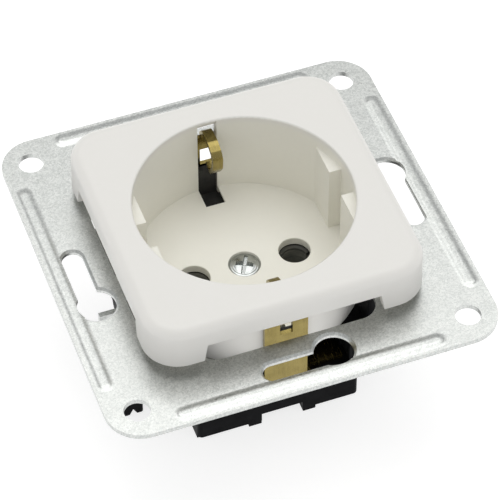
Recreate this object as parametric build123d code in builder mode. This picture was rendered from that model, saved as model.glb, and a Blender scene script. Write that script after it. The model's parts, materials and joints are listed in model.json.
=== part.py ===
from build123d import *
import math
import os

# Flush wall socket with round plug well and side earth contacts.
# Frame: origin on the well axis in the plane of the wall (rear face of the
# carrier plate), +X along the line of the two pin holes, +Y up the wall,
# +Z out of the wall towards the user. Millimetres.

# ---------------------------------------------------------------- carrier
PLATE_W = 71.0          # square plate
PLATE_T = 1.0           # sheet
PLATE_R = 6.5           # plan corner radius
FIX_PITCH = 60.0        # wall box screw spacing
FIX_D = 4.6             # corner holes
OPEN_L = 49.0           # central cross shaped opening, up and down
OPEN_LX = 48.2          # and from side to side
OPEN_W = 32.6           # and across each arm
OPEN_R = 3.6
SLOT_W = 3.8            # keyhole slot
SLOT_X = 30.0           # slot centre line from the middle
SLOT_END = 7.5          # far end of the slot
KEY_R = 3.5             # head hole of the keyhole
KEY_X = 29.2
KEY_Y = 5.6
BEAD_X = 33.35          # stiffening bead centre line
BEAD_L = 48.6
BEAD_W = 2.7
BEAD_H = 0.25
BEAD_SLOPE = 72         # degrees off upright, a shallow soft bump
RIM = 0.4               # eased edge round each keyhole
TAB_X = 23.95           # outer face of the folded side tabs
TAB_Y0, TAB_Y1 = -2.8, -0.6
TAB_DROP = 14.0
LEG_OUT = 4.05          # flange of the side tab
LEG_TOP = 6.2
TAB_WIN_Y = -1.3

# ---------------------------------------------------------------- cover
FACE_Z = 11.3           # front face
COVER_HALF = 25.4       # half width at the skirt foot
COVER_R = 6.5
COVER_DRAFT = 1.2       # degrees
EDGE_R = 1.9            # soft front edge
SKIRT_T = 1.8
TOP_T = 2.0
SKIRT_MID_Z = 6.7       # foot of the skirt between the corner blocks
SKIRT_LOW_Z = 3.0       # foot of the corner blocks
BLOCK_T0, BLOCK_T1 = 15.7, 16.5
WELL_R = 19.5
WELL_OUT_R = 21.1
FLOOR_Z = -6.2          # plug well 17.5 deep
WELL_FOOT_Z = -7.8
KEY_FLAT = 17.0         # keying rib flats
KEY_GAP = 2.9
KEY_TOP_Z = 8.5
WIN_HALF = 1.83         # earth windows
WIN_TOP_Z = 9.45
WIN_IN_Y = 15.15
PIN_PITCH = 19.0
PIN_HOLE_R = 2.88
COLLAR_FOOT_Z = -8.7    # boss under the cover screw

# ---------------------------------------------------------------- inside
BASE_X, BASE_Y = 15.3, 17.8
BASE_FOOT_Z = -28.6
FLANGE_R = 23.9
FLANGE_HALF = 22.4      # the flange is a circle joined with a rounded square
FLANGE_Z0, FLANGE_Z1 = -12.0, -7.8
STRIP_T = 0.8
STRIP_HALF = 3.98
STRIP_OFF = 0.38        # each upright stands off the middle, to the strip's right
STRIP_Y = 21.7          # mid surface of the earth strip's uprights
STRIP_LOW_Z = -13.0     # mid surface of its bridge
STRIP_TOP_Z = 5.5       # top of the full width of the uprights
NOSE_X0, NOSE_X1 = -0.55, 1.35    # sides of the nose at the top of the well
ARM_X, ARM_Y = 10.85, -20.65    # outer corner of the side arm
SLEEVE_R = 2.4          # bore of the pin contacts
SLEEVE_OUT_R = 3.1
SLEEVE_TOP_Z = -8.1
CAGE_X, CAGE_Z = 3.6, 3.0
CAGE_Y0, CAGE_Y1 = 8.7, 15.4
TERM_Z = -17.8          # axis of the pin terminal screws
EARTH_TERM_Z = -19.8    # and of the earth terminal screw
EARTH_FLOOR_Z = -23.0   # floor of its chamber
EARTH_X = 7.4
PX = PIN_PITCH / 2

os.makedirs("parts", exist_ok=True)


def save(part, name):
    part.label = name
    export_step(part, "parts/" + name + ".step")


# ================================================================ carrier
# galvanised sheet: square blank, cross shaped opening, box screw holes,
# a keyhole on each side turned a quarter each time, and a pressed bead
# along each edge
with BuildPart() as carrier_plate:
    with BuildSketch(Plane.XY):
        RectangleRounded(PLATE_W, PLATE_W, PLATE_R)
        RectangleRounded(OPEN_LX, OPEN_W, OPEN_R, mode=Mode.SUBTRACT)
        RectangleRounded(OPEN_W, OPEN_L, OPEN_R, mode=Mode.SUBTRACT)
        with GridLocations(FIX_PITCH, FIX_PITCH, 2, 2):
            Circle(FIX_D / 2, mode=Mode.SUBTRACT)
    extrude(amount=PLATE_T)
    # beads stand proud of the front
    with BuildSketch(Plane.XY.offset(PLATE_T)):
        with Locations(*[Location((0, 0, 0), (0, 0, 90 * k)) for k in range(4)]):
            with Locations((0, -BEAD_X)):
                SlotOverall(BEAD_L, BEAD_W)
    extrude(amount=BEAD_H, taper=BEAD_SLOPE)
    # and leave a groove behind
    with BuildSketch(Plane.XY):
        with Locations(*[Location((0, 0, 0), (0, 0, 90 * k)) for k in range(4)]):
            with Locations((0, -BEAD_X)):
                SlotOverall(BEAD_L - 0.5, BEAD_W - 0.5)
    extrude(amount=BEAD_H - 0.04, taper=BEAD_SLOPE, mode=Mode.SUBTRACT)
    bead_edges = (
        carrier_plate.edges()
        .filter_by_position(Axis.Z, PLATE_T + BEAD_H - 0.01, PLATE_T + BEAD_H + 0.01)
    )
    fillet(bead_edges, 1.8)
    foot_edges = (
        carrier_plate.edges()
        .filter_by_position(Axis.Z, PLATE_T - 0.01, PLATE_T + 0.01)
        .filter_by(lambda e: max(abs(e.center().X), abs(e.center().Y)) > 31.7
                   and e.length > 0.5
                   and max(abs(e.center().X), abs(e.center().Y)) < 35.0
                   and min(abs(e.center().X), abs(e.center().Y)) < 27.0)
    )
    fillet(foot_edges, 1.8)
    # keyholes
    with BuildSketch(Plane.XY):
        with Locations(*[Location((0, 0, 0), (0, 0, 90 * k)) for k in range(4)]):
            with Locations((-SLOT_X, (SLOT_END - KEY_Y) / 2)):
                SlotOverall(SLOT_END + KEY_Y, SLOT_W, rotation=90)
            with Locations((-KEY_X, -KEY_Y)):
                Circle(KEY_R)
    extrude(amount=PLATE_T + BEAD_H + 0.5, mode=Mode.SUBTRACT)
    # eased front edge of the punched keyholes
    with BuildSketch(Plane.XY.offset(PLATE_T - RIM)):
        with Locations(*[Location((0, 0, 0), (0, 0, 90 * k)) for k in range(4)]):
            with Locations((-SLOT_X, (SLOT_END - KEY_Y) / 2)):
                SlotOverall(SLOT_END + KEY_Y, SLOT_W, rotation=90)
            with Locations((-KEY_X, -KEY_Y)):
                Circle(KEY_R)
    extrude(amount=RIM + 0.02, taper=-45, mode=Mode.SUBTRACT)
    # quarter bend and web of the left tab, folded down at the edge of the
    # opening, and the same turned half round
    for turn in (0, 180):
        bend_x = -TAB_X - 0.15
        tab_mid = (TAB_Y0 + TAB_Y1) / 2
        with BuildSketch(Plane(origin=(0, 0, 0), x_dir=(math.cos(math.radians(turn)), math.sin(math.radians(turn)), 0),
                               z_dir=(math.sin(math.radians(turn)), -math.cos(math.radians(turn)), 0)).offset(-tab_mid)):
            with BuildLine():
                a = Line((bend_x, 0), (bend_x, PLATE_T))
                b = RadiusArc((bend_x, PLATE_T), (bend_x + PLATE_T + 0.15, -0.15), PLATE_T + 0.15)
                c = Line((bend_x + PLATE_T + 0.15, -0.15), (bend_x + PLATE_T + 0.15, -TAB_DROP))
                d = Line((bend_x + PLATE_T + 0.15, -TAB_DROP), (bend_x + 0.15, -TAB_DROP))
                e = Line((bend_x + 0.15, -TAB_DROP), (bend_x + 0.15, -0.15))
                f = RadiusArc((bend_x + 0.15, -0.15), (bend_x, 0), -0.15)
            make_face()
        extrude(amount=(TAB_Y1 - TAB_Y0) / 2, both=True)
        # flange folded outwards along the tab's lower-hand edge
        with BuildSketch(Plane.XY.offset(-TAB_DROP)):
            with Locations(Location((0, 0, 0), (0, 0, turn))):
                with Locations((-TAB_X - LEG_OUT / 2, TAB_Y0 + PLATE_T / 2)):
                    Rectangle(LEG_OUT + 0.02, PLATE_T)
        extrude(amount=TAB_DROP - LEG_TOP)
        # window that the base latches into
        with BuildSketch(Plane.XY.offset(-9.5)):
            with Locations(Location((0, 0, 0), (0, 0, turn))):
                with Locations((-TAB_X + PLATE_T / 2, TAB_WIN_Y)):
                    Rectangle(PLATE_T + 0.4, 1.1)
        extrude(amount=5.0, mode=Mode.SUBTRACT)
save(carrier_plate.part, "carrier_plate")

# ================================================================ cover
# one moulding: soft edged square front, skirt with four corner blocks, and
# the round plug well with its keying ribs, pin holes and earth windows
with BuildPart() as cover:
    with BuildSketch(Plane.XY.offset(SKIRT_LOW_Z)):
        RectangleRounded(2 * COVER_HALF, 2 * COVER_HALF, COVER_R)
    extrude(amount=FACE_Z - SKIRT_LOW_Z, taper=COVER_DRAFT)
    fillet(cover.edges().group_by(Axis.Z)[-1], EDGE_R)
    with BuildSketch(Plane.XY.offset(SKIRT_LOW_Z)):
        RectangleRounded(2 * (COVER_HALF - SKIRT_T), 2 * (COVER_HALF - SKIRT_T), COVER_R - SKIRT_T)
    extrude(amount=FACE_Z - TOP_T - SKIRT_LOW_Z, taper=COVER_DRAFT, mode=Mode.SUBTRACT)
    fillet(cover.edges().filter_by_position(Axis.Z, FACE_Z - TOP_T - 0.01, FACE_Z - TOP_T + 0.01), 0.8)
    # the skirt stands back from the plate between the corner blocks
    for plane in (Plane.XZ, Plane.YZ):
        with BuildSketch(plane):
            with BuildLine():
                Polyline(
                    (-BLOCK_T0, SKIRT_MID_Z), (BLOCK_T0, SKIRT_MID_Z),
                    (BLOCK_T1, SKIRT_LOW_Z - 1), (-BLOCK_T1, SKIRT_LOW_Z - 1), close=True,
                )
            make_face()
        extrude(amount=30, both=True, mode=Mode.SUBTRACT)
    # plug well
    with BuildSketch(Plane.XY.offset(WELL_FOOT_Z)):
        Circle(WELL_OUT_R)
    extrude(amount=FACE_Z - 1.0 - WELL_FOOT_Z)
    with BuildSketch(Plane.XY.offset(FLOOR_Z)):
        Circle(WELL_R)
    extrude(amount=FACE_Z - FLOOR_Z + 1, mode=Mode.SUBTRACT)
    fillet(
        cover.edges().filter_by(GeomType.CIRCLE).filter_by_position(Axis.Z, FACE_Z - 0.01, FACE_Z + 0.01)
        .filter_by(lambda e: abs(e.radius - WELL_R) < 0.01),
        0.35,
    )
    # keying ribs, flat faced, leaving a keyway on the pin line
    with BuildSketch(Plane.XY.offset(FLOOR_Z)):
        Circle(WELL_R + 0.3)
        Rectangle(2 * KEY_FLAT, 2 * WELL_OUT_R, mode=Mode.SUBTRACT)
        Rectangle(2 * WELL_OUT_R, 2 * KEY_GAP, mode=Mode.SUBTRACT)
    extrude(amount=KEY_TOP_Z - FLOOR_Z)
    # boss round the screw hole, below the floor
    with BuildSketch(Plane.XY.offset(COLLAR_FOOT_Z)):
        Circle(4.0)
    extrude(amount=FLOOR_Z - COLLAR_FOOT_Z - 0.4)
    with Locations((-PX, 0, FLOOR_Z), (PX, 0, FLOOR_Z)):
        Hole(PIN_HOLE_R, depth=4)
    fillet(
        cover.edges().filter_by(GeomType.CIRCLE).filter_by_position(Axis.Z, FLOOR_Z - 0.01, FLOOR_Z + 0.01)
        .filter_by(lambda e: abs(e.radius - PIN_HOLE_R) < 0.01),
        0.2,
    )
    with Locations((0, 0, FLOOR_Z)):
        CounterBoreHole(1.75, 2.95, 1.1, depth=4)
    # earth windows: slot in the floor and through the wall
    with BuildSketch(Plane.XY.offset(WELL_FOOT_Z - 1)):
        with Locations((0, (WIN_IN_Y + 22.9) / 2), (0, -(WIN_IN_Y + 22.9) / 2)):
            Rectangle(2 * WIN_HALF, 22.9 - WIN_IN_Y)
    extrude(amount=WIN_TOP_Z - WELL_FOOT_Z + 1, mode=Mode.SUBTRACT)
    # shallow relief over each window
    with BuildSketch(Plane.XY.offset(WIN_TOP_Z - 0.05)):
        with Locations((0, 19.1), (0, -19.1)):
            Rectangle(2 * WIN_HALF, 2.2)
    extrude(amount=1.35, mode=Mode.SUBTRACT)
    # the floor is thinned from below beside each window
    with BuildSketch(Plane.XY.offset(WELL_FOOT_Z - 1)):
        with Locations((0, (WIN_IN_Y + 19.2) / 2), (0, -(WIN_IN_Y + 19.2) / 2)):
            Rectangle(2 * WIN_HALF + 1.6, 19.2 - WIN_IN_Y)
    extrude(amount=FLOOR_Z - 0.5 - WELL_FOOT_Z + 1, mode=Mode.SUBTRACT)
save(cover.part, "cover")

# ================================================================ base
with BuildPart() as base:
    # terminal block
    with BuildSketch(Plane.XY.offset(BASE_FOOT_Z)):
        RectangleRounded(2 * BASE_X, 2 * BASE_Y, 0.9)
    extrude(amount=FLANGE_Z0 - BASE_FOOT_Z + 0.5)
    # flange under the well: round, filled out towards a rounded square
    with BuildSketch(Plane.XY.offset(FLANGE_Z0)):
        Circle(FLANGE_R)
        RectangleRounded(2 * FLANGE_HALF, 2 * FLANGE_HALF, 6.0)
    extrude(amount=FLANGE_Z1 - FLANGE_Z0)
    # guide rib beside each side tab
    with BuildSketch(Plane.XY.offset(-9.9)):
        with Locations((-22.9, 3.6), (22.9, -3.6)):
            Rectangle(1.9, 3.2)
    extrude(amount=9.9 + FLANGE_Z1)
    # and a clearance notch for the tab itself
    with BuildSketch(Plane.XY.offset(FLANGE_Z0)):
        with Locations((-23.95, -1.7), (23.95, 1.7)):
            Rectangle(2.4, 3.0)
    extrude(amount=FLANGE_Z1 - FLANGE_Z0 + 1, mode=Mode.SUBTRACT)
    # four posts that the carrier plate lies on
    with BuildSketch(Plane.XY.offset(FLANGE_Z0)):
        with GridLocations(2 * 17.9, 2 * 17.9, 2, 2):
            RectangleRounded(4.6, 4.6, 0.6)
    extrude(amount=-FLANGE_Z0)
    # side lobes behind the plate, each on a web
    with BuildSketch(Plane.XY.offset(-29.2)):
        with Locations((-24.3, -0.6), (24.3, 0.6)):
            RectangleRounded(3.8, 14.8, 0.5)
    extrude(amount=9.2)
    with BuildSketch(Plane.XY.offset(-26.5)):
        Rectangle(2 * 22.6, 5.0)
    extrude(amount=14.6)
    # V groove across the foot of each lobe
    with BuildSketch(Plane.XZ):
        for s in (-1, 1):
            with BuildLine():
                Polyline((s * 23.5, -29.5), (s * 24.35, -27.8), (s * 25.2, -29.5), close=True)
            make_face()
    extrude(amount=12, both=True, mode=Mode.SUBTRACT)
    # ledge under the side arm of the earth strip
    with BuildSketch(Plane.XY.offset(-15.6)):
        with Locations((8.2, -20.0)):
            RectangleRounded(8.4, 5.4, 0.6)
    extrude(amount=2.0)
    # feet along the front and rear edges
    with BuildSketch(Plane.XY.offset(-29.4)):
        with Locations(*[(fx, fy) for fx in (-4.5, 5.85) for fy in (-16.4, 16.4)]):
            Rectangle(2.4, 2.8)
        with Locations(*[(fx, fy) for fx in (-14.7, 14.7) for fy in (-15.5, 15.5)]):
            Rectangle(1.2, 2.8)
    extrude(amount=1.0)
    # shallow channel between the middle ribs
    with BuildSketch(Plane.XY.offset(-30)):
        with Locations((0.65, 0)):
            Rectangle(7.8, 2 * BASE_Y + 2)
    extrude(amount=3.2, mode=Mode.SUBTRACT)
    # latch noses that snap into the side tabs
    with BuildSketch(Plane.XZ.offset(-TAB_WIN_Y)):
        with BuildLine():
            Polyline((-22.5, -9.4), (-23.85, -9.4), (-23.85, -8.9), (-22.8, -7.9), (-22.5, -7.9), close=True)
        make_face()
    extrude(amount=0.45, both=True)
    with BuildSketch(Plane.XZ.offset(TAB_WIN_Y)):
        with BuildLine():
            Polyline((22.5, -9.4), (23.85, -9.4), (23.85, -8.9), (22.8, -7.9), (22.5, -7.9), close=True)
        make_face()
    extrude(amount=0.45, both=True)
    # seat of the contact cover
    with BuildSketch(Plane.XY.offset(-9.3)):
        Circle(19.45)
        Rectangle(3.9, 42.0)
    extrude(amount=3, mode=Mode.SUBTRACT)
    # notches for the earth strip, the front one wider for its side arm
    with BuildSketch(Plane.XY.offset(FLANGE_Z0)):
        with Locations((0.2, 23.4)):
            Rectangle(9.4, 5.2)
        with Locations((3.2, -21.8)):
            Rectangle(16.4, 8.4)
    extrude(amount=6, mode=Mode.SUBTRACT)
    # channel for the strip's bridge and its side arm
    with BuildSketch(Plane.XY.offset(STRIP_LOW_Z - STRIP_T / 2 - 0.2)):
        Rectangle(9.0, 48)
        with Locations((7.6, -16.4)):
            Rectangle(7.6, 16.4)
    extrude(amount=5, mode=Mode.SUBTRACT)
    # contact chambers on each side
    with BuildSketch(Plane.XY.offset(-22.1)):
        with Locations((-PX, 6.0), (PX, 6.0)):
            RectangleRounded(8.2, 20.6, 0.8)
    extrude(amount=14, mode=Mode.SUBTRACT)
    # deeper wells for the pin ends
    with BuildSketch(Plane.XY.offset(-25.6)):
        with Locations((-PX, 0), (PX, 0)):
            Circle(3.4)
    extrude(amount=5, mode=Mode.SUBTRACT)
    # earth terminal chamber
    with BuildSketch(Plane.XY.offset(EARTH_FLOOR_Z)):
        with Locations((EARTH_X, -12.1)):
            RectangleRounded(7.8, 7.8, 0.8)
    extrude(amount=14, mode=Mode.SUBTRACT)
    # wire entries from the back, each with a wider mouth
    with BuildSketch(Plane.XY.offset(-30)):
        with Locations((-PX, 12.0), (PX, 12.0), (EARTH_X, -12.0)):
            RectangleRounded(5.0, 4.6, 0.8)
    extrude(amount=9, mode=Mode.SUBTRACT)
    with BuildSketch(Plane.XY.offset(-30)):
        with Locations((-PX, 12.0), (PX, 12.0), (EARTH_X, -12.0)):
            RectangleRounded(6.2, 5.8, 1.2)
    extrude(amount=30 + BASE_FOOT_Z + 0.9, mode=Mode.SUBTRACT)
    # screwdriver holes to the terminal screws
    with BuildSketch(Plane.XZ.offset(-BASE_Y - 1)):
        with Locations((-PX, TERM_Z), (PX, TERM_Z)):
            Circle(2.75)
    extrude(amount=4, mode=Mode.SUBTRACT)
    with BuildSketch(Plane.XZ.offset(BASE_Y + 1)):
        with Locations((EARTH_X, EARTH_TERM_Z)):
            Circle(2.75)
    extrude(amount=-4, mode=Mode.SUBTRACT)
    # clearance under the cover screw
    with Locations((0, 0, -11)):
        Hole(2.9, depth=8)
save(base.part, "base")

# ================================================================ contact cover
# insulating disc over the live contacts, with a tongue behind each earth window
with BuildPart() as contact_cover:
    with BuildSketch(Plane.XY.offset(-9.25)):
        Circle(19.3)
        Rectangle(3.4, 41.5)
    extrude(amount=1.3)
    with BuildSketch(Plane.XY.offset(-9.25)):
        with Locations((0, 20.25), (0, -20.25)):
            Rectangle(3.4, 1.0)
    extrude(amount=-1.4 + 9.25)
    with BuildSketch(Plane.XY.offset(-10)):
        with Locations((-PX, 0), (PX, 0)):
            Circle(4.4)
        Circle(4.2)
    extrude(amount=3, mode=Mode.SUBTRACT)
save(contact_cover.part, "contact_cover")


# ================================================================ earth strip
# one brass strip: bridge under the contact cover, an upright at each end,
# narrowed and bent over into a sprung nose inside the well, and a side arm
# turned down as the earth terminal
with BuildPart() as earth_strip:
    with BuildSketch(Plane.XY.offset(STRIP_LOW_Z - STRIP_T / 2)):
        Rectangle(2 * (STRIP_HALF + STRIP_OFF), 2 * (STRIP_Y + STRIP_T / 2))
        with Locations(((STRIP_HALF + ARM_X) / 2 - 0.75, (ARM_Y - 9.5) / 2)):
            Rectangle(ARM_X - STRIP_HALF + 1.5, -9.5 - ARM_Y)
    extrude(amount=STRIP_T)
    # the bridge is rounded below where it turns up into the uprights
    fillet(
        earth_strip.edges().filter_by(Axis.X)
        .filter_by_position(Axis.Z, STRIP_LOW_Z - STRIP_T / 2 - 0.01, STRIP_LOW_Z - STRIP_T / 2 + 0.01)
        .filter_by(lambda e: abs(abs(e.center().Y) - (STRIP_Y + STRIP_T / 2)) < 0.02),
        0.7,
    )
    for side in (1, -1):
        with BuildSketch(Plane.XZ.offset(-side * STRIP_Y)):
            with Locations((side * STRIP_OFF, (STRIP_TOP_Z + STRIP_LOW_Z + 0.35) / 2)):
                Rectangle(2 * STRIP_HALF, STRIP_TOP_Z - STRIP_LOW_Z - 0.35)
            # the hole left by the tongue
            with Locations((side * STRIP_OFF, 1.1 if side < 0 else 0.5)):
                Rectangle(2.32, 2.7 if side < 0 else 3.9, mode=Mode.SUBTRACT)
        extrude(amount=STRIP_T / 2, both=True)
        # nose: leans in from the upright, arches over, turns down the well and
        # hooks back at its end
        with BuildSketch(Plane.YZ.offset(side * (NOSE_X0 + NOSE_X1) / 2)):
            with BuildLine():
                FilletPolyline(
                    *[(side * ny, nz) for ny, nz in (
                        (STRIP_Y, STRIP_TOP_Z - 1.0), (STRIP_Y, 7.5), (17.3, 7.5), (14.95, 6.3),
                        (15.25, 3.3), (16.9, 0.75), (18.7, 1.7))],
                    radius=(1.9, 2.0, 1.6, 2.0, 1.0),
                )
            trace(line_width=STRIP_T)
        extrude(amount=(NOSE_X1 - NOSE_X0) / 2, both=True)
    # terminal lug
    with BuildSketch(Plane.XY.offset(-22.6)):
        with Locations((EARTH_X, -9.9)):
            Rectangle(4.8, STRIP_T)
    extrude(amount=22.6 + STRIP_LOW_Z)
    # screw seat: plunged collar, tapped for the cover screw
    with BuildSketch(Plane.XY.offset(STRIP_LOW_Z - 2.2)):
        Circle(2.5)
    extrude(amount=2.2)
    with Locations((0, 0, STRIP_LOW_Z + 1)):
        Hole(1.6, depth=6)
save(earth_strip.part, "earth_strip")


# ================================================================ pin contacts
for sx, name in ((-1, "line"), (1, "neutral")):
    with BuildPart() as pin_contact:
        with BuildSketch(Plane.XY.offset(-22.0)):
            with Locations((sx * PX, 0)):
                Circle(SLEEVE_OUT_R)
        extrude(amount=22.0 + SLEEVE_TOP_Z)
        # flat arm along the chamber floor and lug up into the clamp
        with BuildSketch(Plane.XY.offset(-22.0)):
            with Locations((sx * PX, 5.15)):
                Rectangle(4.8, 10.3)
        extrude(amount=STRIP_T)
        with BuildSketch(Plane.XY.offset(-22.0)):
            with Locations((sx * PX, 9.9)):
                Rectangle(4.8, STRIP_T)
        extrude(amount=8.2)
        with Locations((sx * PX, 0, SLEEVE_TOP_Z)):
            Hole(SLEEVE_R, depth=15)
        # flared mouth
        chamfer(
            pin_contact.edges().filter_by(GeomType.CIRCLE)
            .filter_by_position(Axis.Z, SLEEVE_TOP_Z - 0.01, SLEEVE_TOP_Z + 0.01).sort_by(SortBy.RADIUS)[0],
            0.4,
        )
        # lengthwise slots make two sprung jaws
        with BuildSketch(Plane.XY.offset(-18.5)):
            with Locations((sx * PX, 0)):
                Rectangle(8.0, 0.7)
        extrude(amount=12, mode=Mode.SUBTRACT)
    save(pin_contact.part, name + "_contact")

    # open steel ring that keeps the jaws closed
    with BuildPart() as jaw_ring:
        with BuildSketch(Plane.XY.offset(-14.0)):
            with Locations((sx * PX, 0)):
                Circle(3.72)
                Circle(3.14, mode=Mode.SUBTRACT)
            with Locations((sx * PX + sx * 3.4, 0)):
                Rectangle(2.0, 2.4, mode=Mode.SUBTRACT)
        extrude(amount=3.4)
    save(jaw_ring.part, name + "_contact_spring")

# ================================================================ terminals
for cx, side, tz, name in (
    (-PX, 1, TERM_Z, "line"), (PX, 1, TERM_Z, "neutral"), (EARTH_X, -1, EARTH_TERM_Z, "earth"),
):
    y0, y1 = side * CAGE_Y0, side * CAGE_Y1
    ymid = (y0 + y1) / 2
    # box clamp round the lug
    with BuildPart() as cage:
        with BuildSketch(Plane.XY.offset(tz - CAGE_Z)):
            with Locations((cx, ymid)):
                Rectangle(2 * CAGE_X, CAGE_Y1 - CAGE_Y0)
            with Locations((cx, side * 11.35)):
                Rectangle(5.4, 3.7, mode=Mode.SUBTRACT)
        extrude(amount=2 * CAGE_Z)
        fillet(cage.edges().filter_by(Axis.Z).filter_by(
            lambda ed: abs(abs(ed.center().X - cx) - CAGE_X) < 0.01), 0.6)
        with BuildSketch(Plane.XZ.offset(-side * 14.3)):
            with Locations((cx, tz)):
                Circle(1.5)
        extrude(amount=1.4, both=True, mode=Mode.SUBTRACT)
    save(cage.part, name + "_clamp")

    # clamp screw, slotted cheese head
    with BuildPart() as screw:
        with BuildSketch(Plane.XZ.offset(-side * 15.5)):
            with Locations((cx, tz)):
                Circle(2.5)
        extrude(amount=-side * 1.9)
        fillet(screw.edges().filter_by(GeomType.CIRCLE).filter_by(
            lambda ed: abs(abs(ed.center().Y) - 17.4) < 0.01), 0.3)
        with BuildSketch(Plane.XZ.offset(-side * 15.5)):
            with Locations((cx, tz)):
                Circle(1.42)
        extrude(amount=side * 3.0)
        with BuildSketch(Plane.XZ.offset(-side * 17.5)):
            with Locations((cx, tz)):
                Rectangle(0.8, 6)
                Rectangle(3.0, 0.8)
        extrude(amount=side * 1.0, mode=Mode.SUBTRACT)
    save(screw.part, name + "_terminal_screw")

# ================================================================ cover screw
# domed head with a straight slot and a cross recess
with BuildPart() as cover_screw:
    with BuildSketch(Plane.XZ):
        with BuildLine():
            Polyline((0, -6.0), (0, -7.25), (2.86, -7.25), (2.86, -6.72))
            ThreePointArc((2.86, -6.72), (1.5, -6.193), (0, -6.0))
        make_face()
    revolve(axis=Axis.Z)
    with BuildSketch(Plane.XY.offset(-16.5)):
        Circle(1.5)
    extrude(amount=9.4)
    # slot and cross, both narrower towards their floors
    top = Plane(origin=(0, 0, -5.9), x_dir=(1, 0, 0), z_dir=(0, 0, -1))
    with BuildSketch(top):
        Rectangle(4.7, 0.9, rotation=-62)
    extrude(amount=0.95, taper=12, mode=Mode.SUBTRACT)
    with BuildSketch(top):
        Rectangle(3.4, 1.15, rotation=-152)
    extrude(amount=1.05, taper=20, mode=Mode.SUBTRACT)
save(cover_screw.part, "cover_screw")
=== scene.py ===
import json
import math

import bpy
from mathutils import Matrix, Vector


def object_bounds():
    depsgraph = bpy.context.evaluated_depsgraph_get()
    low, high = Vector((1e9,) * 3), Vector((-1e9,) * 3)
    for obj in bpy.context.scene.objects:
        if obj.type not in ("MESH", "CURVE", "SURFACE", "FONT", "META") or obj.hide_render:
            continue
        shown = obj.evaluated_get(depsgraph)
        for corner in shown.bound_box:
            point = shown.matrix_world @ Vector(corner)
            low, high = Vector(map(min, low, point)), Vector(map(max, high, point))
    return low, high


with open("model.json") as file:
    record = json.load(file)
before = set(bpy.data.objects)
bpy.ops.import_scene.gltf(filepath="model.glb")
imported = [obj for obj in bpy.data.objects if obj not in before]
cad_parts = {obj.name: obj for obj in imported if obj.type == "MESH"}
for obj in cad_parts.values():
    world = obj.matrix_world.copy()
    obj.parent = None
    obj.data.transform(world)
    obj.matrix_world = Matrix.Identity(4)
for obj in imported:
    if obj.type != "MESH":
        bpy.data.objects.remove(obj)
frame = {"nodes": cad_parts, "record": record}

cad_lo, cad_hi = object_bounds()
nodes = frame["nodes"]
scene = bpy.context.scene
MM = 0.001


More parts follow.
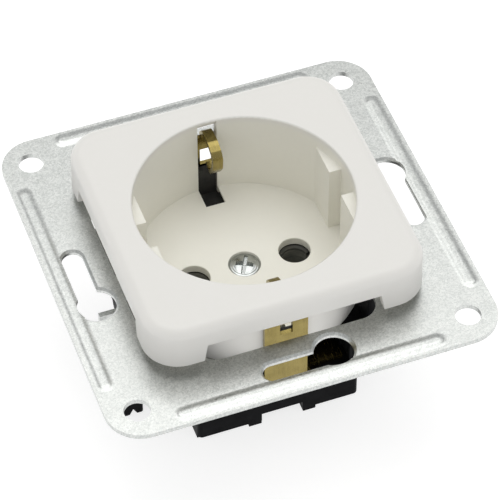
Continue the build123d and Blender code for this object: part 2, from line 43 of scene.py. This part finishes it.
# ------------------------------------------------------------------ node help
class Mat:
    """A node material with a few short ways to add nodes."""

    def __init__(self, name):
        self.m = bpy.data.materials.new(name)
        self.m.use_nodes = True
        self.t = self.m.node_tree
        self.t.nodes.clear()
        self.out = self.t.nodes.new("ShaderNodeOutputMaterial")
        self.p = self.t.nodes.new("ShaderNodeBsdfPrincipled")
        self.link(self.p.outputs["BSDF"], self.out.inputs["Surface"])
        self.co = self.t.nodes.new("ShaderNodeTexCoord").outputs["Object"]

    def link(self, a, b):
        self.t.links.new(a, b)

    def set(self, **kw):
        for k, v in kw.items():
            self.p.inputs[k.replace("_", " ")].default_value = v

    def mapped(self, scale=(1, 1, 1), rot=(0, 0, 0), loc=(0, 0, 0), co=None):
        n = self.t.nodes.new("ShaderNodeMapping")
        self.link(co or self.co, n.inputs["Vector"])
        n.inputs["Scale"].default_value = scale
        n.inputs["Rotation"].default_value = rot
        n.inputs["Location"].default_value = loc
        return n.outputs["Vector"]

    def noise(self, scale, detail=3.0, rough=0.55, co=None, distortion=0.0):
        n = self.t.nodes.new("ShaderNodeTexNoise")
        self.link(co or self.co, n.inputs["Vector"])
        n.inputs["Scale"].default_value = scale
        n.inputs["Detail"].default_value = detail
        n.inputs["Roughness"].default_value = rough
        n.inputs["Distortion"].default_value = distortion
        return n.outputs["Fac"]

    def voronoi(self, scale, co=None, feature="F1", out="Color", randomness=1.0):
        n = self.t.nodes.new("ShaderNodeTexVoronoi")
        n.feature = feature
        self.link(co or self.co, n.inputs["Vector"])
        n.inputs["Scale"].default_value = scale
        n.inputs["Randomness"].default_value = randomness
        return n.outputs[out]

    def ramp(self, fac, stops, mode="LINEAR"):
        n = self.t.nodes.new("ShaderNodeValToRGB")
        self.link(fac, n.inputs["Fac"])
        cr = n.color_ramp
        cr.interpolation = mode
        while len(cr.elements) < len(stops):
            cr.elements.new(0.5)
        for e, (pos, c) in zip(cr.elements, stops):
            e.position = pos
            e.color = (c, c, c, 1) if isinstance(c, (int, float)) else (*c, 1)
        return n.outputs["Color"]

    def remap(self, v, a, b, c, d):
        n = self.t.nodes.new("ShaderNodeMapRange")
        self.link(v, n.inputs["Value"])
        for k, x in (("From Min", a), ("From Max", b), ("To Min", c), ("To Max", d)):
            n.inputs[k].default_value = x
        return n.outputs["Result"]

    def math(self, op, a, b=None, clamp=False):
        n = self.t.nodes.new("ShaderNodeMath")
        n.operation = op
        n.use_clamp = clamp
        for k, v in enumerate((a, b)):
            if v is None:
                continue
            if isinstance(v, (int, float)):
                n.inputs[k].default_value = v
            else:
                self.link(v, n.inputs[k])
        return n.outputs[0]

    def mix(self, fac, a, b, blend="MIX"):
        n = self.t.nodes.new("ShaderNodeMix")
        n.data_type = "RGBA"
        n.blend_type = blend
        for k, v in ((0, fac), (6, a), (7, b)):
            if isinstance(v, (int, float)):
                n.inputs[k].default_value = v
            elif isinstance(v, tuple):
                n.inputs[k].default_value = (*v, 1)
            else:
                self.link(v, n.inputs[k])
        return n.outputs[2]

    def xyz(self, co=None):
        n = self.t.nodes.new("ShaderNodeSeparateXYZ")
        self.link(co or self.co, n.inputs[0])
        return n.outputs

    def bump(self, height, strength, distance, base=None):
        n = self.t.nodes.new("ShaderNodeBump")
        n.inputs["Strength"].default_value = strength
        n.inputs["Distance"].default_value = distance
        self.link(height, n.inputs["Height"])
        if base is not None:
            self.link(base, n.inputs["Normal"])
        return n.outputs["Normal"]

    def color(self, c):
        self.link(c, self.p.inputs["Base Color"])

    def rough(self, r):
        self.link(r, self.p.inputs["Roughness"])

    def normal(self, n):
        self.link(n, self.p.inputs["Normal"])


# ------------------------------------------------------------------ materials
def white_moulding():
    """Warm white urea moulding: satin, with a very fine eroded-tool grain."""
    m = Mat("white_moulding")
    m.set(IOR=1.5)
    soft = m.noise(55, 2.0)
    fine = m.noise(900, 3.0)
    outer = m.mix(soft, (0.846, 0.832, 0.796), (0.866, 0.853, 0.822))
    painted_well_tint = m.mix(soft, (0.893, 0.878, 0.801), (0.907, 0.893, 0.823))
    # painted shade tint: the moulding is coloured a little warmer down the well, standing in for the warm cast of the
    # shaded walls lighting each other there
    x, y, z = m.xyz()[:3]
    r2 = m.math("ADD", m.math("MULTIPLY", x, x), m.math("MULTIPLY", y, y))
    in_well_mask = m.remap(r2, 0.0196 ** 2, 0.0203 ** 2, 1.0, 0.0)
    below = m.remap(z, 0.0095, 0.0112, 1.0, 0.0)
    # blend in the painted shade tint inside the well, below the rim
    c = m.mix(m.math("MULTIPLY", in_well_mask, below), outer, painted_well_tint)
    c = m.mix(m.ramp(fine, [(0.35, 0.0), (0.75, 0.10)]), c, (0.80, 0.785, 0.735))
    m.color(c)
    m.rough(m.remap(m.noise(240, 4.0), 0.3, 0.7, 0.34, 0.46))
    grain = m.bump(m.noise(5200, 2.0), 0.12, 0.00003)
    m.normal(m.bump(m.noise(140, 2.0), 0.10, 0.0001, grain))
    return m.m


def galvanised():
    """Zinc coated sheet: fine spangle, grey specks, faint rolling lines."""
    m = Mat("galvanised_sheet")
    m.set(Metallic=1.0)
    warp = m.noise(900, 3.0)
    # small grains of slightly different grey
    cells = m.voronoi(3600, co=m.mapped(scale=(1, 1, 0.6)))
    n = m.t.nodes.new("ShaderNodeSeparateColor")
    m.link(cells, n.inputs[0])
    cell = n.outputs[0]
    big = m.noise(420, 4.0, 0.6)
    fine = m.noise(6200, 3.0, 0.75)
    tone = m.math("ADD", m.math("MULTIPLY", cell, 0.20), m.math("MULTIPLY", big, 0.14))
    tone = m.math("ADD", tone, m.math("MULTIPLY", fine, 0.66))
    c = m.ramp(tone, [(0.36, (0.480, 0.498, 0.485)), (0.50, (0.605, 0.621, 0.605)), (0.64, (0.725, 0.737, 0.720))])
    lines = m.noise(160, 4.0, 0.6, co=m.mapped(scale=(0.35, 9.0, 1.0)))
    c = m.mix(m.ramp(lines, [(0.55, 0.0), (0.72, 0.10)]), c, (0.50, 0.515, 0.51))
    m.color(c)
    m.rough(m.remap(m.math("ADD", m.math("MULTIPLY", cell, 0.4), m.math("MULTIPLY", warp, 0.6)), 0.2, 0.8, 0.27, 0.40))
    g = m.bump(fine, 0.30, 0.00004)
    g = m.bump(m.noise(700, 2.0), 0.12, 0.00008, g)
    m.normal(g)
    return m.m


def black_moulding():
    """Near black thermoset: satin, finely grained, with faint random grey patches."""
    m = Mat("black_moulding")
    m.set(IOR=1.5, Specular_IOR_Level=0.035)
    c = m.ramp(m.noise(420, 4.0), [(0.35, (0.0038, 0.0039, 0.0044)), (0.72, (0.0085, 0.0088, 0.0098))])
    m.color(c)
    m.rough(m.remap(m.noise(900, 4.0), 0.3, 0.7, 0.36, 0.52))
    m.normal(m.bump(m.noise(4200, 3.0), 0.22, 0.00005))
    return m.m


def insulation():
    """Matt dark grey pressed insulation."""
    m = Mat("grey_insulation")
    c = m.ramp(m.noise(700, 5.0), [(0.3, (0.014, 0.014, 0.013)), (0.75, (0.030, 0.029, 0.027))])
    m.color(c)
    m.rough(m.remap(m.noise(1200, 3.0), 0.3, 0.7, 0.55, 0.72))
    m.normal(m.bump(m.noise(3000, 4.0), 0.3, 0.00006))
    return m.m


def brass(name, lo, hi, dark, rough=(0.24, 0.38)):
    """Rolled strip brass with rolling lines and light tarnish."""
    m = Mat(name)
    m.set(Metallic=1.0)
    base = m.ramp(m.noise(330, 4.0), [(0.32, lo), (0.72, hi)])
    roll = m.noise(420, 4.0, 0.6, co=m.mapped(scale=(7.0, 1.0, 0.45)))
    base = m.mix(m.ramp(roll, [(0.45, 0.0), (0.7, 0.28)]), base, dark)
    spots = m.noise(1400, 3.0, 0.7)
    base = m.mix(m.ramp(spots, [(0.60, 0.0), (0.74, 0.35)]), base, dark)
    m.color(base)
    m.rough(m.remap(roll, 0.3, 0.7, *rough))
    m.normal(m.bump(roll, 0.16, 0.00004, m.bump(m.noise(3600, 2.0), 0.12, 0.00003)))
    return m.m


def contact_metal():
    """Dull tarnished contact metal, ringed by the reamer, with painted shade making it nearly black at the mouth, down
    in its hole.
    """
    m = Mat("contact_brass")
    m.set(Metallic=0.45)
    base = m.ramp(m.noise(520, 4.0), [(0.32, (0.40, 0.40, 0.36)), (0.72, (0.54, 0.535, 0.48))])
    rings = m.noise(900, 3.0, 0.6, co=m.mapped(scale=(0.12, 0.12, 1.6)))
    base = m.mix(m.ramp(rings, [(0.45, 0.0), (0.62, 0.55)]), base, (0.20, 0.20, 0.18))
    # painted shade: the upper end of each contact, at the mouth down in its hole, is mixed towards near black by
    # height
    z = m.xyz()[2]
    base = m.mix(m.remap(z, -0.0092, -0.0086, 0.0, 0.85), base, (0.03, 0.03, 0.026))
    m.color(base)
    m.rough(m.remap(rings, 0.3, 0.7, 0.26, 0.42))
    m.normal(m.bump(rings, 0.25, 0.00005))
    return m.m


def plated(name, lo, hi, rough, bump=0.1, turned=False):
    """Zinc plated steel."""
    m = Mat(name)
    m.set(Metallic=1.0)
    c = m.ramp(m.noise(800, 4.0), [(0.3, lo), (0.72, hi)])
    c = m.mix(m.ramp(m.noise(2600, 3.0, 0.7), [(0.58, 0.0), (0.75, 0.4)]), c, (0.30, 0.30, 0.30))
    m.color(c)
    m.rough(m.remap(m.noise(1500, 3.0), 0.3, 0.7, *rough))
    g = m.bump(m.noise(2400, 3.0), bump, 0.00005)
    if turned:
        # fine turned rings round the rim of the head on the well axis
        x, y = m.xyz()[:2]
        r = m.math("SQRT", m.math("ADD", m.math("MULTIPLY", x, x), m.math("MULTIPLY", y, y)))
        rings = m.math("SINE", m.math("MULTIPLY", r, 15500.0))
        rings = m.math("MULTIPLY", rings, m.remap(r, 0.0019, 0.0022, 0.0, 1.0))
        rings = m.math("MULTIPLY", rings, m.remap(r, 0.0030, 0.0032, 1.0, 0.0))
        g = m.bump(rings, 0.35, 0.00004, g)
    m.normal(g)
    return m.m


MATERIALS = {
    "white_moulding": white_moulding(),
    "galvanised_sheet": galvanised(),
    "black_moulding": black_moulding(),
    "grey_insulation": insulation(),
    "earth_brass": brass("earth_brass", (0.270, 0.215, 0.071), (0.348, 0.281, 0.101), (0.19, 0.145, 0.055), (0.18, 0.30)),
    "contact_brass": contact_metal(),
    "spring_steel": plated("spring_steel", (0.30, 0.30, 0.31), (0.42, 0.42, 0.43), (0.25, 0.4)),
    "zinc_steel": plated("zinc_steel", (0.42, 0.44, 0.43), (0.62, 0.64, 0.63), (0.16, 0.28), 0.14, True),
    "clamp_steel": plated("clamp_steel", (0.52, 0.53, 0.53), (0.70, 0.71, 0.70), (0.25, 0.4)),
}
for row in frame["record"]["subparts"]:
    o = nodes.get(row["node"])
    if o is None:
        continue
    mat = MATERIALS[row["material_slot"]]
    if not o.material_slots:
        o.data.materials.append(mat)
    for s in o.material_slots:
        s.material = mat

# ------------------------------------------------------------------ stage
FLOOR_Z = cad_lo.z


def floor_material():
    m = Mat("pale_floor")
    m.set(Roughness=0.7, Specular_IOR_Level=0.1)
    c = m.mix(m.noise(3.0, 2.0), (0.43, 0.43, 0.43), (0.45, 0.45, 0.45))
    m.color(c)
    m.set(Emission_Color=(1, 1, 1, 1), Emission_Strength=0.76)
    return m.m


me = bpy.data.meshes.new("floor")
S = 4.0
me.from_pydata([(-S, -S, FLOOR_Z), (S, -S, FLOOR_Z), (S, S, FLOOR_Z), (-S, S, FLOOR_Z)], [], [(0, 1, 2, 3)])
floor = bpy.data.objects.new("floor", me)
scene.collection.objects.link(floor)
floor.data.materials.append(floor_material())

world = bpy.data.worlds.new("studio")
scene.world = world
world.use_nodes = True
wt = world.node_tree
bg = wt.nodes["Background"]
tc = wt.nodes.new("ShaderNodeTexCoord")
sep = wt.nodes.new("ShaderNodeSeparateXYZ")
wt.links.new(tc.outputs["Generated"], sep.inputs[0])
ramp = wt.nodes.new("ShaderNodeValToRGB")
wt.links.new(sep.outputs["Z"], ramp.inputs["Fac"])
cr = ramp.color_ramp
cr.elements[0].position = 0.0
cr.elements[0].color = (0.55, 0.555, 0.56, 1)
cr.elements[1].position = 0.9
cr.elements[1].color = (0.62, 0.62, 0.615, 1)
wt.links.new(ramp.outputs["Color"], bg.inputs["Color"])
bg.inputs["Strength"].default_value = 1.0


def area(name, loc, target, size, power, color=(1, 1, 1), size_y=None):
    l = bpy.data.lights.new(name, "AREA")
    l.energy = power
    l.color = color
    l.size = size
    if size_y:
        l.shape = "RECTANGLE"
        l.size_y = size_y
    o = bpy.data.objects.new(name, l)
    scene.collection.objects.link(o)
    o.location = loc
    o.rotation_mode = "QUATERNION"
    o.rotation_quaternion = (Vector(target) - Vector(loc)).to_track_quat("-Z", "Y")
    return o


def softbox(name, azimuth, elevation, size, radiance, distance=0.8, color=(1, 1, 1), size_y=None):
    """A light on a sphere round the object, azimuth clockwise from +Y, and its
    brightness as seen from the object."""
    a, e = math.radians(azimuth), math.radians(elevation)
    loc = (distance * math.cos(e) * math.sin(a), distance * math.cos(e) * math.cos(a), distance * math.sin(e))
    return area(name, loc, (0, 0, 0), size, radiance * size * (size_y or size) * math.pi, color, size_y)


# a large softbox nearly overhead, a little behind: its far edge is what the
# plate mirrors, so the plate is brighter towards the front
softbox("key_light", 20, 75, 0.76, 1.42, color=(1.0, 0.998, 0.985))
# a low weak panel in front lights the wall under the front skirt
softbox("front_fill", 185, 8, 0.5, 0.04)

# ------------------------------------------------------------------ camera
cam = bpy.data.cameras.new("camera")
cam.sensor_width = 36.0
cam.lens = 202.907
cam.dof.use_dof = False
cam.clip_start = 0.05
cam.clip_end = 20.0
co = bpy.data.objects.new("camera", cam)
scene.collection.objects.link(co)
right = Vector((0.93908, -0.34367, -0.00310)).normalized()
view = Vector((0.22336, 0.61714, -0.75449)).normalized()
up = right.cross(view).normalized()
right = view.cross(up).normalized()
co.matrix_world = Matrix((
    (right.x, up.x, -view.x, -110.51 * MM),
    (right.y, up.y, -view.y, -308.234 * MM),
    (right.z, up.z, -view.z, 373.995 * MM),
    (0, 0, 0, 1),
))
scene.camera = co
scene.view_settings.view_transform = "Standard"
scene.view_settings.look = "None"
